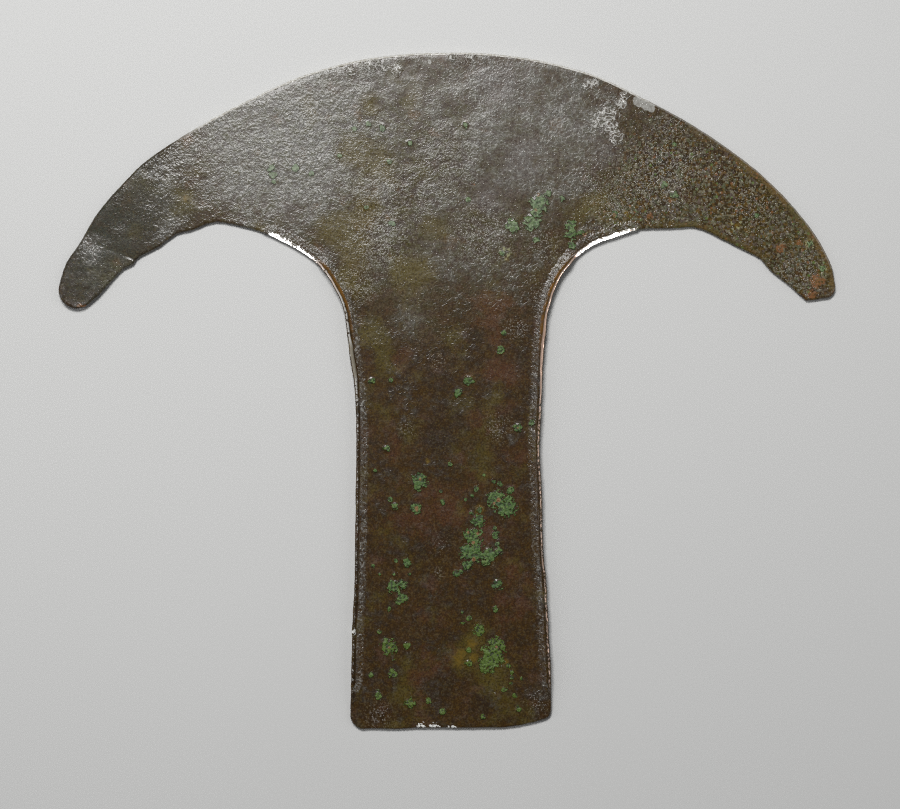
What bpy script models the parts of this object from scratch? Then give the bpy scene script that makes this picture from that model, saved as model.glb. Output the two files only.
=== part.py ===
"""Axe money: one sheet of copper beaten out into a broad crescent blade over a plain shank.

The sheet lies on its back on the ground plane. +X runs to the blade's right horn, +Y to the
crown of the blade and +Z out of the face that carries the flange. The origin is under the
middle of the sheet's box. Lengths are in metres.
"""

import math
from collections import namedtuple

import bmesh
import bpy
from mathutils import Vector
from mathutils.geometry import interpolate_bezier

# Blade
blade_span = 0.1450  # tip to tip of the horns
crown_drop = 0.0405  # from the top of the crown down to where its arc reaches the span
crown_waver = 0.0010  # how far the hammer left its edge out of a true arc
left_tip_hang = 0.0073  # how far each horn's tip hangs below that
right_tip_hang = 0.0054
left_tip_round = 0.00345  # the left tip is worn to a half round
right_tip_round = 0.0019  # the right tip is blunt, with a round outer corner
right_tip_corner = 0.0008  # and a tighter inner one
right_tip_cut = 0.0033  # from the middle of one corner to the middle of the other
right_tip_slant = 0.0004  # how much lower the inner corner reaches

# Shank
overall_length = 0.12635  # crown to foot
waist_width = 0.03415
foot_width = 0.03747
waist_lean = 0.0002  # how far the shank's middle line stands to the right of the blade's
foot_lean = 0.0007
left_foot_round = 0.0026
right_foot_round = 0.0018
foot_slant = 0.0017  # how much higher the foot's right corner sits than its left one

# Sheet and its edge
web_thickness = 0.0010
edge_round = 0.00028

# Flange beaten up along the shank and round into the bays under the horns
flange_height = 0.00115  # above the web
crest_round = 0.00014
crest_width = 0.00022
wall_run = 0.00042  # the steep inner wall, seen from above
slope_run = 0.0014  # the hollow slope between that wall and the flat web
slope_rise = 0.00028
slope_knee = (0.45, 0.30)  # the hollow's deepest line, as shares of that run and rise
left_flange_reach = 0.0340  # where the flange starts, from the middle of the blade
right_flange_reach = 0.0357
flange_start = 0.0008  # the length over which it starts there
flange_fade = 0.0080  # the length over which it dies away above the foot

# How fine the outline is
longest_edge = 0.0020
sharpest_turn_deg = 8

# The crown is an arc that the hammer left a little out of true. Each pair is a share of the
# half span, and a share of the waver by which the edge stands above the arc there.
crown_wander = [
    (0.993, -0.8),
    (0.980, 0.1),
    (0.950, 0.9),
    (0.900, 1.0),
    (0.835, 0.8),
    (0.770, 0.45),
    (0.640, -0.1),
    (0.515, -0.25),
    (0.385, 0.3),
    (0.255, 0.3),
    (0.130, 0.2),
    (0.000, 0.0),
    (-0.130, 0.1),
    (-0.255, 0.15),
    (-0.385, 0.0),
    (-0.515, -0.4),
    (-0.640, -0.1),
    (-0.770, 0.9),
    (-0.835, 0.8),
    (-0.900, 0.5),
    (-0.950, -1.0),
    (-0.980, -1.0),
]

# The bays under the horns, from the horn's tip to the root of the shank. Each pair is a share
# of the bay's width, from the shank outwards, and a share of the horn's drop from the crown.
left_bay = [
    (0.861, 0.944),
    (0.810, 0.877),
    (0.783, 0.846),
    (0.749, 0.828),
    (0.741, 0.808),
    (0.706, 0.784),
    (0.659, 0.756),
    (0.606, 0.709),
    (0.558, 0.696),
    (0.475, 0.662),
    (0.390, 0.679),
    (0.323, 0.699),
    (0.256, 0.734),
    (0.189, 0.776),
    (0.122, 0.836),
    (0.072, 0.924),
    (0.045, 0.998),
]
right_bay = [
    (0.846, 0.948),
    (0.812, 0.916),
    (0.779, 0.883),
    (0.745, 0.836),
    (0.711, 0.814),
    (0.644, 0.775),
    (0.576, 0.733),
    (0.524, 0.710),
    (0.475, 0.713),
    (0.407, 0.716),
    (0.340, 0.720),
    (0.272, 0.745),
    (0.204, 0.772),
    (0.154, 0.804),
    (0.120, 0.840),
    (0.079, 0.901),
    (0.056, 0.956),
    (0.039, 1.015),
]

# The shank's sides between the bay and the waist: a share of the way up from the waist, and
# a share of the way out to the root of the bay.
waist_share = 0.66  # height of the waist, as a share of the shank's length
left_root = [(0.831, 0.70), (0.669, 0.52), (0.479, 0.185), (0.28, 0.04)]
right_root = [(0.912, 0.70), (0.743, 0.50), (0.608, 0.33), (0.405, 0.235), (0.203, 0.096)]

# The sides between the waist and the foot: a share of the way down, and of the way out.
left_flare = [(0.0, 0.0), (0.107, 0.08), (0.25, 0.16), (0.50, 0.32), (0.61, 0.63), (0.75, 0.79), (0.86, 0.87)]
right_flare = [(0.0, 0.0), (0.18, 0.19), (0.39, 0.35), (0.45, 0.52), (0.54, 0.65), (0.68, 0.81), (0.82, 0.97)]

# The foot, from its left corner to its right one: a share of the way across, and how far the
# edge stands above its lowest place, as a share of the slant.
foot_edge = [(0.10, 0.08), (0.22, 0.0), (0.33, 0.12), (0.60, 0.12), (0.76, 0.18), (0.87, 0.52)]

Horn = namedtuple("Horn", "side hang reach bay root flare")
left = Horn(-1, left_tip_hang, left_flange_reach, left_bay, left_root, left_flare)
right = Horn(1, right_tip_hang, right_flange_reach, right_bay, right_root, right_flare)

half_span = blade_span / 2
crown_level = overall_length / 2
foot_level = -overall_length / 2
crown_radius = (half_span**2 + crown_drop**2) / (2 * crown_drop)


def arc(centre, radius, start, end, steps):
    """Points on an arc, counterclockwise from one angle to another, in degrees."""
    turned = (math.radians(start + (end - start) * i / steps) for i in range(steps + 1))
    return [(centre[0] + radius * math.cos(a), centre[1] + radius * math.sin(a)) for a in turned]


def crown():
    """The crown's edge from the right horn over to the left one."""
    points = []
    for share, proud in crown_wander:
        x = share * half_span
        sink = crown_radius - math.sqrt(crown_radius**2 - x**2)
        points.append((x, crown_level - sink + proud * crown_waver))
    return points


def left_tip():
    """The half round end of the left horn, from its outer side to its inner one."""
    lowest = crown_level - crown_drop - left_tip_hang
    centre = (-half_span + left_tip_round, lowest + left_tip_round)
    return arc(centre, left_tip_round, 170, 320, 7)


def right_tip():
    """The blunt end of the right horn, from its inner corner to its outer one."""
    lowest = crown_level - crown_drop - right_tip_hang
    outer = (half_span - right_tip_round, lowest + right_tip_round)
    inner = (outer[0] - right_tip_cut, lowest - right_tip_slant + right_tip_corner)
    return arc(inner, right_tip_corner, 220, 280, 3) + arc(outer, right_tip_round, 275, 370, 5)


def waist_level(horn):
    """The height of the shank's narrowest place."""
    shank_length = overall_length - crown_drop - horn.hang
    return foot_level + waist_share * shank_length


def waist_edge(horn):
    return waist_lean + horn.side * waist_width / 2


def foot_side(horn):
    return foot_lean + horn.side * foot_width / 2


def bay(horn):
    """The edge under a horn, from the horn's tip to the root of the shank."""
    drop = crown_drop + horn.hang
    width = half_span - horn.side * waist_edge(horn)
    return [
        (waist_edge(horn) + horn.side * across * width, crown_level - down * drop)
        for across, down in horn.bay
    ]


def shank_side(horn):
    """One side of the shank, from the root of the bay down to the foot's corner."""
    root_x, root_y = bay(horn)[-1]
    waist_x, waist_y = waist_edge(horn), waist_level(horn)
    foot_x = foot_side(horn)
    upper = [
        (waist_x + out * (root_x - waist_x), waist_y + up * (root_y - waist_y))
        for up, out in horn.root
    ]
    lower = [
        (waist_x + out * (foot_x - waist_x), waist_y + down * (foot_level - waist_y))
        for down, out in horn.flare
    ]
    return upper + lower


def foot():
    """The foot's edge, from the left corner round to the right one."""
    left_x, right_x = foot_side(left), foot_side(right)
    left_corner = (left_x + left_foot_round, foot_level + left_foot_round)
    right_corner = (right_x - right_foot_round, foot_level + foot_slant + right_foot_round)
    between = [
        (left_x + share * (right_x - left_x), foot_level + rise * foot_slant)
        for share, rise in foot_edge
    ]
    return (
        arc(left_corner, left_foot_round, 180, 262, 4)
        + between
        + arc(right_corner, right_foot_round, 282, 360, 4)
    )


def outline_knots():
    """Every knot of the outline counterclockwise, each with the horn whose flange follows it."""
    runs = [
        (crown(), None),
        (left_tip(), None),
        (bay(left), left),
        (shank_side(left), left),
        (foot(), None),
        (shank_side(right)[::-1], right),
        (bay(right)[::-1], right),
        (right_tip(), None),
    ]
    return [(Vector((x, y, 0)), horn) for points, horn in runs for x, y in points]


def ease(share):
    """A share held between 0 and 1, with a soft start and end."""
    held = min(max(share, 0), 1)
    return held * held * (3 - 2 * held)


def flange_at(point, horn):
    """How high the flange stands above the web at a place on the outline."""
    if horn is None:
        return 0.0
    start = ease((horn.reach - abs(point.x)) / flange_start)
    fade = ease((point.y - foot_level - left_foot_round) / flange_fade)
    return flange_height * start * fade


def outline():
    """The outline as a smooth line through its knots, with the flange's height at each point."""
    knots = outline_knots()
    count = len(knots)
    line = []
    for i, (here, horn) in enumerate(knots):
        before = knots[i - 1][0]
        after, next_horn = knots[(i + 1) % count]
        beyond = knots[(i + 2) % count][0]
        # Handles a third of the way along, level with the knots on either side.
        reach = (after - here).length / 3
        lead = here + (after - before).normalized() * reach
        trail = after - (beyond - here).normalized() * reach
        turn = (after - before).angle(beyond - here)
        by_length = math.ceil((after - here).length / longest_edge)
        by_turn = math.ceil(math.degrees(turn) / sharpest_turn_deg)
        steps = max(by_length, by_turn, 1)
        along = interpolate_bezier(here, lead, trail, after, steps + 1)
        flanged = horn if next_horn is horn else horn or next_horn
        line += [(point, flange_at(point, flanged)) for point in along[:-1]]
    return line


def edge_section(lift):
    """The edge's profile where the flange stands this high: how far in and how high each line of it runs."""
    corner = min(edge_round, web_thickness * 0.4)
    top = web_thickness + flange_height
    crest = crest_round + crest_width
    wall_foot = crest + wall_run
    plain = [(corner, 0), (0, corner), (0, web_thickness - corner)]
    # The flange's lines lie side by side on the web where it has died away.
    plain += [(corner * (1 + line / 2), web_thickness) for line in range(5)]
    flanged = [
        (corner, 0),
        (0, corner),
        (0, top - crest_round),
        (crest_round, top),
        (crest, top - crest_round),
        (wall_foot, web_thickness + slope_rise),
        (wall_foot + slope_run * slope_knee[0], web_thickness + slope_rise * slope_knee[1]),
        (wall_foot + slope_run, web_thickness),
    ]
    standing = lift / flange_height
    return [Vector(a).lerp(Vector(b), standing) for a, b in zip(plain, flanged)]


def build_sheet():
    """The sheet's mesh: the underside, the edge's profile carried all the way round, and the web."""
    line = outline()
    points = [point for point, _ in line]
    inward = []
    for i, point in enumerate(points):
        along = (points[(i + 1) % len(points)] - points[i - 1]).normalized()
        inward.append(Vector((-along.y, along.x, 0)))
    sections = [edge_section(lift) for _, lift in line]

    mesh = bmesh.new()
    ring = []
    for point, aside, section in zip(points, inward, sections):
        into, height = section[0]
        ring.append(mesh.verts.new(point + aside * into + Vector((0, 0, height))))
    mesh.faces.new(ring[::-1])
    for row in range(1, len(sections[0])):
        above = []
        for point, aside, section in zip(points, inward, sections):
            into, height = section[row]
            above.append(mesh.verts.new(point + aside * into + Vector((0, 0, height))))
        for i in range(len(ring)):
            j = (i + 1) % len(ring)
            mesh.faces.new((ring[i], ring[j], above[j], above[i]))
        ring = above
    mesh.faces.new(ring)
    return mesh


def patinated_copper():
    """Old copper under a dark brown patina."""
    material = bpy.data.materials.new("patinated copper")
    material.use_nodes = True
    shader = material.node_tree.nodes["Principled BSDF"]
    shader.inputs["Base Color"].default_value = (0.075, 0.062, 0.038, 1)
    shader.inputs["Roughness"].default_value = 0.48
    shader.inputs["Metallic"].default_value = 0.55
    return material


for old in list(bpy.data.objects):
    bpy.data.objects.remove(old)

sheet = build_sheet()
data = bpy.data.meshes.new("axe_money")
sheet.to_mesh(data)
sheet.free()
data.materials.append(patinated_copper())
data.shade_smooth()
data.set_sharp_from_angle(angle=math.radians(35))
axe_money = bpy.data.objects.new("axe_money", data)
bpy.context.scene.collection.objects.link(axe_money)
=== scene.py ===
"""The looks of a piece of axe money: a copper sheet beaten into a broad crescent blade over a shank.

It lies on its back on a pale table. Lengths are in metres unless a name ends in _mm. +X runs to
the right horn, +Y to the crown of the blade and +Z up out of the face that carries the flange.
"""

import math

import bmesh
import bpy
import numpy as np
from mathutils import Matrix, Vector, kdtree


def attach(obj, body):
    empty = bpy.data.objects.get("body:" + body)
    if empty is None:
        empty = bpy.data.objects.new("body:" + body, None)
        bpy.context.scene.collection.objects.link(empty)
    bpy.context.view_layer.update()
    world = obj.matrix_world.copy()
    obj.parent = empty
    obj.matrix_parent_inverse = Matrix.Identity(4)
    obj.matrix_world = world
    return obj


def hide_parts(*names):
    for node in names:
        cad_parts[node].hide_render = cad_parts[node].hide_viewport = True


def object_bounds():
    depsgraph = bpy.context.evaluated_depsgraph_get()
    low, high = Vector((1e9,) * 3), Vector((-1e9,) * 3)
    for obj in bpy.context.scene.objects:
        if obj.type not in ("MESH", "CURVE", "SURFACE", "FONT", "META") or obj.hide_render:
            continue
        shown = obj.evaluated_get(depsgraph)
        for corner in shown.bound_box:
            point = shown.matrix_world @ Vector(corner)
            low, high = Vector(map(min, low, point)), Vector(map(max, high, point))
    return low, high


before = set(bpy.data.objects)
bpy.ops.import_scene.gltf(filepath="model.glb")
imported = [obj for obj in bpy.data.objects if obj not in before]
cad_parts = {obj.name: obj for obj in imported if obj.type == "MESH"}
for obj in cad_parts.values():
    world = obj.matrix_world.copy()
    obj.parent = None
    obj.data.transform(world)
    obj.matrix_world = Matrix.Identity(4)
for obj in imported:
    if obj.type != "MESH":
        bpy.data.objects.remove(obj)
solid_low, solid_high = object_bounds()

# Camera. It looks straight down on the sheet as it lies, with the crown of the blade at the top
# of the picture, from far enough off that the edge's walls hardly show.
picture_width = 0.16795  # how much of the sheet's face the picture takes in, side to side
picture_middle = (0.00056, -0.00252)
face_level = 0.0010
lens_mm = 85.0
film_width_mm = 36.0

camera_data = bpy.data.cameras.new("camera")
camera_data.lens = lens_mm
camera_data.sensor_width = film_width_mm
camera_data.clip_start = 0.01
camera_data.clip_end = 10.0
camera = bpy.data.objects.new("camera", camera_data)
camera.location = (*picture_middle, face_level + picture_width * lens_mm / film_width_mm)
bpy.context.scene.collection.objects.link(camera)
bpy.context.scene.camera = camera


# Table and light. A plain pale table top, a big softbox above the crown that the blade throws
# back, two long boxes at the sides that draw the flange's edges, and a pale room.
table_size = 6.0
table_gap = 0.00002  # the sheet's underside and the table top aren't one surface
table_colour = (0.60, 0.60, 0.59, 1)
room_colour = (0.80, 0.82, 0.85, 1)
room_strength = 0.10

bpy.ops.object.select_all(action="DESELECT")
bpy.ops.mesh.primitive_plane_add(size=table_size, location=(0, 0, -table_gap))
table = bpy.context.object
table.name = "table_top"
table_paint = bpy.data.materials.new("table_paint")
table_paint.use_nodes = True
table_shader = table_paint.node_tree.nodes["Principled BSDF"]
table_shader.inputs["Base Color"].default_value = table_colour
table_shader.inputs["Roughness"].default_value = 0.9
table_shader.inputs["Specular IOR Level"].default_value = 0.1
table.data.materials.append(table_paint)


def softbox(name, place, size, watts):
    """A flat lamp of that width and height, turned to face the middle of the sheet."""
    lamp = bpy.data.lights.new(name, "AREA")
    lamp.shape = "RECTANGLE"
    lamp.size, lamp.size_y = size
    lamp.energy = watts
    holder = bpy.data.objects.new(name, lamp)
    holder.location = place
    toward_sheet = -Vector(place)
    holder.rotation_euler = toward_sheet.to_track_quat("-Z", "Y").to_euler()
    bpy.context.scene.collection.objects.link(holder)


softbox("crown_box", place=(-0.08, 0.24, 0.45), size=(0.20, 0.15), watts=2.4)
softbox("left_strip", place=(-0.55, -0.05, 0.42), size=(0.10, 0.60), watts=0.6)
softbox("right_strip", place=(0.55, -0.02, 0.42), size=(0.10, 0.60), watts=0.6)

room = bpy.data.worlds.new("room")
room.use_nodes = True
room.node_tree.nodes["Background"].inputs["Color"].default_value = room_colour
room.node_tree.nodes["Background"].inputs["Strength"].default_value = room_strength
bpy.context.scene.world = room
bpy.context.scene.view_settings.view_transform = "Standard"
bpy.context.scene.cycles.use_denoising = False
bpy.context.scene.cycles.filter_width = 1.1


# The sheet. One piece of copper hammered out cold: a broad blade, a shank, and a flange beaten
# up along the shank's sides and round into the bays. A merged copy of the plain solid is cut
# into a fine grid, finer on the face than on the back.
grid = 0.00042
back_every = 3  # the back is cut at every third line of the face's grid
faces_down = -0.9  # a face whose normal points down further than this belongs to the back
cut_snap = 0.00003  # a corner this near a cut is used as it is
wall_cuts = (0.00045, 0.0007, 0.0013, 0.0017)  # heights at which the edge's wall is cut
merge_within = 1e-6
flat_within = math.radians(0.2)

bpy.ops.object.select_all(action="DESELECT")
sheet = bpy.data.objects.new("axe_money_sheet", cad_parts["axe_money"].data.copy())
bpy.context.scene.collection.objects.link(sheet)
bpy.context.view_layer.objects.active = sheet
sheet.select_set(True)
sheet.data.materials.clear()

bpy.ops.object.mode_set(mode="EDIT")
bpy.ops.mesh.select_mode(type="FACE")
bpy.ops.mesh.select_all(action="SELECT")
bpy.ops.mesh.remove_doubles(threshold=merge_within)
bpy.ops.mesh.dissolve_limited(angle_limit=flat_within)


def select_faces(wanted):
    """Selects the faces of the mesh being edited for which wanted(face) is true."""
    mesh = bmesh.from_edit_mesh(sheet.data)
    for face in mesh.faces:
        face.select_set(not face.hide and wanted(face))
    mesh.select_flush_mode()
    bmesh.update_edit_mesh(sheet.data)


def cut_all(axis, level):
    """Cuts everything that isn't hidden by a plane across one axis."""
    point = [0, 0, 0]
    point[axis] = level
    normal = [0, 0, 0]
    normal[axis] = 1
    bpy.ops.mesh.select_all(action="SELECT")
    bpy.ops.mesh.bisect(plane_co=point, plane_no=normal, threshold=cut_snap)


def grid_lines(axis, for_back):
    """The levels of the grid's lines across one axis: the back's, or the rest."""
    count = math.ceil((solid_high[axis] - solid_low[axis]) / grid)
    return [solid_low[axis] + i * grid for i in range(1, count) if (i % back_every == 0) == for_back]


for height in wall_cuts:
    cut_all(2, height)
for axis in (0, 1):
    for level in grid_lines(axis, for_back=True):
        cut_all(axis, level)
select_faces(lambda face: face.normal.z < faces_down)
bpy.ops.mesh.hide()
for axis in (0, 1):
    for level in grid_lines(axis, for_back=False):
        cut_all(axis, level)
bpy.ops.mesh.reveal(select=False)
bpy.ops.object.mode_set(mode="OBJECT")


# Crusts. Green malachite grew out of the copper in small lumps, most of them low on the right
# of the shank, and thin grey skins near the crown. Each spot is a place on the face, in
# millimetres from the middle of the sheet, and a radius.
malachite_mm = [
    # foot of the shank
    (-14.2, -53.0, 0.55), (-12.9, -56.7, 0.75), (-7.0, -58.2, 0.95), (-3.4, -57.8, 0.55),
    (-0.9, -59.9, 0.55), (6.7, -60.8, 0.45), (13.3, -59.4, 0.55), (12.7, -56.8, 0.4),
    (10.6, -55.7, 0.45), (12.1, -54.5, 0.25), (12.1, -53.5, 0.35), (12.1, -52.4, 0.3),
    (11.5, -51.3, 0.4), (13.9, -53.7, 0.25), (-10.1, -52.7, 0.85), (-10.1, -50.2, 0.2),
    # the big crust above the foot and its neighbours
    (8.6, -49.2, 2.1), (7.7, -50.8, 1.7), (9.0, -47.4, 1.4), (10.6, -47.7, 0.3),
    (4.1, -48.3, 0.5), (4.0, -50.9, 0.65), (6.0, -44.7, 1.0), (-7.5, -47.5, 0.65),
    (-10.9, -47.7, 1.5), (-12.7, -45.0, 0.3), (2.9, -43.3, 0.25), (4.1, -42.4, 0.45),
    (2.9, -41.2, 0.3), (9.0, -40.7, 0.55), (-10.8, -40.7, 0.3),
    # left side of the shank
    (-8.6, -38.8, 1.1), (-9.9, -36.5, 1.2), (-8.3, -36.2, 0.9), (-7.1, -34.2, 0.2),
    (-9.8, -34.2, 0.3), (-12.5, -34.2, 0.25), (-13.9, -32.7, 0.25), (-9.5, -31.7, 0.3),
    (-7.5, -32.1, 0.75),
    # middle
    (9.5, -36.1, 1.0), (1.7, -34.0, 0.65), (2.6, -33.8, 0.4),
    # the crust shaped like an L
    (4.85, -27.1, 1.7), (4.6, -30.1, 2.0), (3.9, -32.3, 1.0), (7.5, -30.8, 1.6),
    (9.5, -30.0, 0.75), (5.8, -24.2, 1.2), (9.0, -26.7, 0.75), (8.9, -25.6, 0.4),
    (9.4, -28.6, 0.4), (6.0, -22.3, 0.55), (4.6, -22.8, 0.3),
    # the crust of two lobes and what is round it
    (9.2, -20.2, 1.6), (11.0, -21.6, 1.95), (11.8, -18.5, 0.75), (9.9, -17.4, 0.45),
    (8.8, -17.0, 0.3), (5.5, -18.3, 0.45), (4.7, -19.6, 0.3), (3.5, -20.3, 0.25),
    (6.9, -15.7, 0.25), (0.6, -13.7, 0.4), (-0.75, -20.7, 0.45), (-1.1, -18.7, 0.3),
    (-5.2, -17.0, 1.5), (-5.8, -22.0, 1.0), (-9.7, -21.5, 0.65), (-10.6, -20.2, 0.4),
    (-13.4, -14.9, 0.3), (-11.3, -10.8, 0.65),
    # top of the shank
    (4.2, 1.9, 0.95), (2.1, -0.4, 0.75), (10.0, 7.65, 0.75), (10.6, 10.8, 0.45),
    (13.25, -6.85, 0.75), (15.9, -6.0, 0.55), (-14.05, 1.9, 0.55), (-10.45, 1.9, 0.4),
    # middle of the blade
    (17.3, 34.9, 1.7), (16.7, 33.2, 1.1), (15.9, 31.5, 1.5), (12.3, 30.8, 1.3),
    (23.0, 30.8, 1.1), (23.1, 29.2, 1.1), (19.0, 36.8, 0.55), (21.6, 35.8, 0.55),
    (16.6, 28.2, 0.55), (23.3, 27.1, 0.75), (10.3, 25.7, 0.45), (25.1, 29.6, 0.5),
    (-10.3, 31.35, 0.65), (-15.1, 34.3, 0.4), (3.9, 35.8, 0.45), (3.4, 49.6, 0.55), (-7.0, 46.3, 0.55),
    (-10.8, 42.8, 0.4), (-12.1, 49.1, 0.6), (-14.7, 49.8, 0.5), (-17.3, 49.0, 0.4),
    # left of the blade
    (-25.3, 40.6, 0.45), (-20.0, 44.0, 0.4), (-32.8, 41.5, 0.7), (-32.4, 40.2, 0.7),
    (-28.2, 41.6, 0.65), (-32.3, 39.1, 0.4),
    # right horn
    (42.5, 36.6, 0.75), (40.5, 38.4, 0.6), (67.7, 27.5, 0.6), (70.0, 22.8, 0.5),
    (57.7, 32.8, 0.4), (31.3, 33.0, 0.6), (42.4, 45.9, 0.4),
]
# Thin silver grey crusts, wrinkled like skin, most of them near the crown.
silvery_mm = [
    (29.2, 50.9, 1.3), (30.6, 49.3, 1.1), (32.4, 53.6, 0.8), (33.2, 55.2, 0.6), (31.4, 47.6, 1.1),
    (28.3, 50.0, 0.9), (31.2, 51.8, 0.8), (29.8, 52.0, 0.8), (26.2, 57.0, 0.7), (27.6, 57.6, 0.6),
    (-13.9, 61.0, 1.2), (-9.3, 60.0, 0.9), (-11.8, 60.1, 0.5), (-18.0, 59.6, 0.8), (4.3, 62.2, 0.8),
    (1.0, 62.2, 0.5),
]
crust_reach = 1.35  # a crust dies away at this share of its radius
crust_grid_reach = 1.5  # and the grid is twice as fine out to this one


def spots_field(points, spots_mm, reach):
    """For each point, 1 at the middle of the nearest spot, falling to 0 at reach times its radius."""
    field = np.zeros(len(points))
    for x_mm, y_mm, radius_mm in spots_mm:
        away = np.hypot(points[:, 0] * 1000 - x_mm, points[:, 1] * 1000 - y_mm)
        field = np.maximum(field, 1 - away / (radius_mm * reach))
    return field


def points_of(piece):
    """The piece's corners as an array."""
    flat = np.empty(len(piece.data.vertices) * 3)
    piece.data.vertices.foreach_get("co", flat)
    return flat.reshape(-1, 3)


on_face_level = 0.00075  # what is higher than this belongs to the face

# The end of the left horn was bent a little up along a crease, which stands out as a small step.
crease_start = np.array([-0.0689, 0.0284])
crease_end = np.array([-0.0580, 0.0242])
crease_grid_reach = 0.0009
crease_overrun = 1.05  # the finer grid runs on past the crease's end, as a share of its length
crease_length = np.linalg.norm(crease_end - crease_start)
crease_along = (crease_end - crease_start) / crease_length
crease_across = np.array([crease_along[1], -crease_along[0]])


def past_crease(points):
    """How far along the crease each point is, from 0 to 1, and how far past it toward the tip."""
    from_start = points[:, :2] - crease_start
    return from_start @ crease_along / crease_length, from_start @ crease_across


bpy.ops.object.mode_set(mode="EDIT")
edited = bmesh.from_edit_mesh(sheet.data)
centres = np.array([face.calc_center_median() for face in edited.faces])
along, past = past_crease(centres)
on_crease = (np.abs(past) < crease_grid_reach) & (along > 0) & (along < crease_overrun)
refined = (spots_field(centres, malachite_mm + silvery_mm, crust_grid_reach) > 0) | on_crease
refined &= centres[:, 2] > on_face_level
for face, wanted in zip(edited.faces, refined):
    face.select_set(bool(wanted))
edited.select_flush_mode()
bmesh.update_edit_mesh(sheet.data)
bpy.ops.mesh.subdivide(number_cuts=1)
bpy.ops.object.mode_set(mode="OBJECT")


# Relief. The hammer left the face gently uneven, burial pitted it, and the flange's crest was
# worn wavy. Each relief is pressed in by a cloud of its own size, through a mask.
least_weight = 0.001


def mask(name, weights):
    """A vertex group that holds these weights."""
    group = sheet.vertex_groups.new(name=name)
    for index, weight in enumerate(weights):
        if weight > least_weight:
            group.add([index], float(weight), "REPLACE")


def press(name, grain, depth, group, direction="Z", middle=0.5, detail=2):
    """Moves the masked part of the sheet to and fro by clouds of that size and depth."""
    pattern = bpy.data.textures.new(name, "CLOUDS")
    pattern.noise_scale = grain
    pattern.noise_depth = detail
    relief = sheet.modifiers.new(name, "DISPLACE")
    relief.texture = pattern
    relief.texture_coords = "LOCAL"
    relief.direction = direction
    relief.strength = depth
    relief.mid_level = middle
    relief.vertex_group = group
    bpy.ops.object.modifier_apply(modifier=name)


def ease(share):
    """A share held between 0 and 1, with a soft start and end."""
    held = np.clip(share, 0, 1)
    return held * held * (3 - 2 * held)


web_level = 0.0010
crest_level = solid_high[2]
level_slack = 0.0001
wall_lean = 0.5  # a corner whose normal rises less than this belongs to a wall
crest_depth = 0.0003  # what is no lower than this under the flange's top counts as its crest
least_reach = 1e-5  # these two keep what is divided by above zero
least_away = 1e-6
# Burial pitted the face less here: each spot is a place, a radius and a strength.
smooth_mm = [
    (-58.2, 37.2, 3.4, 0.9), (-57.8, 30.5, 3.2, 0.9), (-63.8, 34.0, 3.0, 0.8), (-66.0, 21.0, 5.0, 0.35),
    (-61.0, 25.0, 3.0, 0.8), (0.0, 57.0, 6.0, 0.6), (10.0, 56.0, 6.0, 0.5),
]
smoothed_by = 0.8


def spots_glow(points, spots_mm):
    """A smooth field made of wide soft spots: each has a place, a radius and a strength."""
    left_dark = np.ones(len(points))
    for x_mm, y_mm, radius_mm, strength in spots_mm:
        away = np.hypot(points[:, 0] * 1000 - x_mm, points[:, 1] * 1000 - y_mm) / radius_mm
        left_dark *= 1 - strength * np.exp(-(away**2))
    return 1 - left_dark


def nearest(points, chosen):
    """For each point, seen from above, the nearest of the chosen ones and how far off it is."""
    tree = kdtree.KDTree(len(chosen))
    for index in chosen:
        tree.insert((points[index, 0], points[index, 1], 0), int(index))
    tree.balance()
    found = [tree.find((x, y, 0)) for x, y, _ in points]
    return np.array([index for _, index, _ in found]), np.array([away for _, _, away in found])


points = points_of(sheet)
height = points[:, 2]
normals = np.array([vertex.normal for vertex in sheet.data.vertices])
outer_wall = (np.abs(normals[:, 2]) < wall_lean) & (height < web_level - level_slack)
edge_corner, from_edge = nearest(points, np.flatnonzero(outer_wall))
edge_facing_up = normals[edge_corner, 1]
_, from_crest = nearest(points, np.flatnonzero(height > crest_level - crest_depth))
on_face = height > on_face_level
on_back = height < level_slack

# Where the flange begins under each horn it is only a low bevel, rubbed bright.
bevel_width = 0.00090
bevel_rise_left = 0.00017
bevel_rise_right = 0.00023
bevel_lip = 0.00006  # the bevel's top is level this far in from the edge
bevel_fullness = 1.6  # how soon the bevel takes the flange's place
bevels_mm = [
    (-32.0, 29.4, 1.7, 1.0), (-29.6, 28.3, 2.2, 1.0), (-27.0, 26.7, 2.0, 0.8), (-24.6, 25.1, 1.9, 0.75),
    (34.0, 30.0, 1.6, 0.8), (31.5, 29.2, 2.6, 1.0), (28.0, 27.4, 2.6, 0.95), (25.0, 25.2, 2.0, 0.7),
]
bevel_share = spots_glow(points, bevels_mm)
bevelled = ease(bevel_share * bevel_fullness)
bevel_rise = np.where(points[:, 0] < 0, bevel_rise_left, bevel_rise_right) * bevel_share
bevel_reach = np.maximum(bevel_width * bevel_share, least_reach)
ramp = web_level + bevel_rise * np.clip(1 - (from_edge - bevel_lip) / bevel_reach, 0, 1)
lowered = np.minimum(height, ramp)
points[:, 2] = np.where(on_face & (height > web_level), height + bevelled * (lowered - height), height)

# At the neck the flange's crest was beaten flat and broader, so its inner wall stands further in.
broad_crest_by = 0.00026
broad_crests_mm = [(-17.6, 5.5, 5.5, 1.0), (17.8, 8.0, 7, 0.35)]
lip_end = 0.00022
lip_fade = 0.0002
slope_start = 0.0012
slope_fade = 0.0016
broad = spots_glow(points, broad_crests_mm) * ease((from_edge - lip_end) / lip_fade)
broad *= 1 - ease((from_edge - slope_start) / slope_fade)
inward = points[:, :2] - points[edge_corner, :2]
inward /= np.maximum(from_edge, least_away)[:, None]
points[:, :2] += inward * (broad * on_face * broad_crest_by)[:, None]

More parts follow.
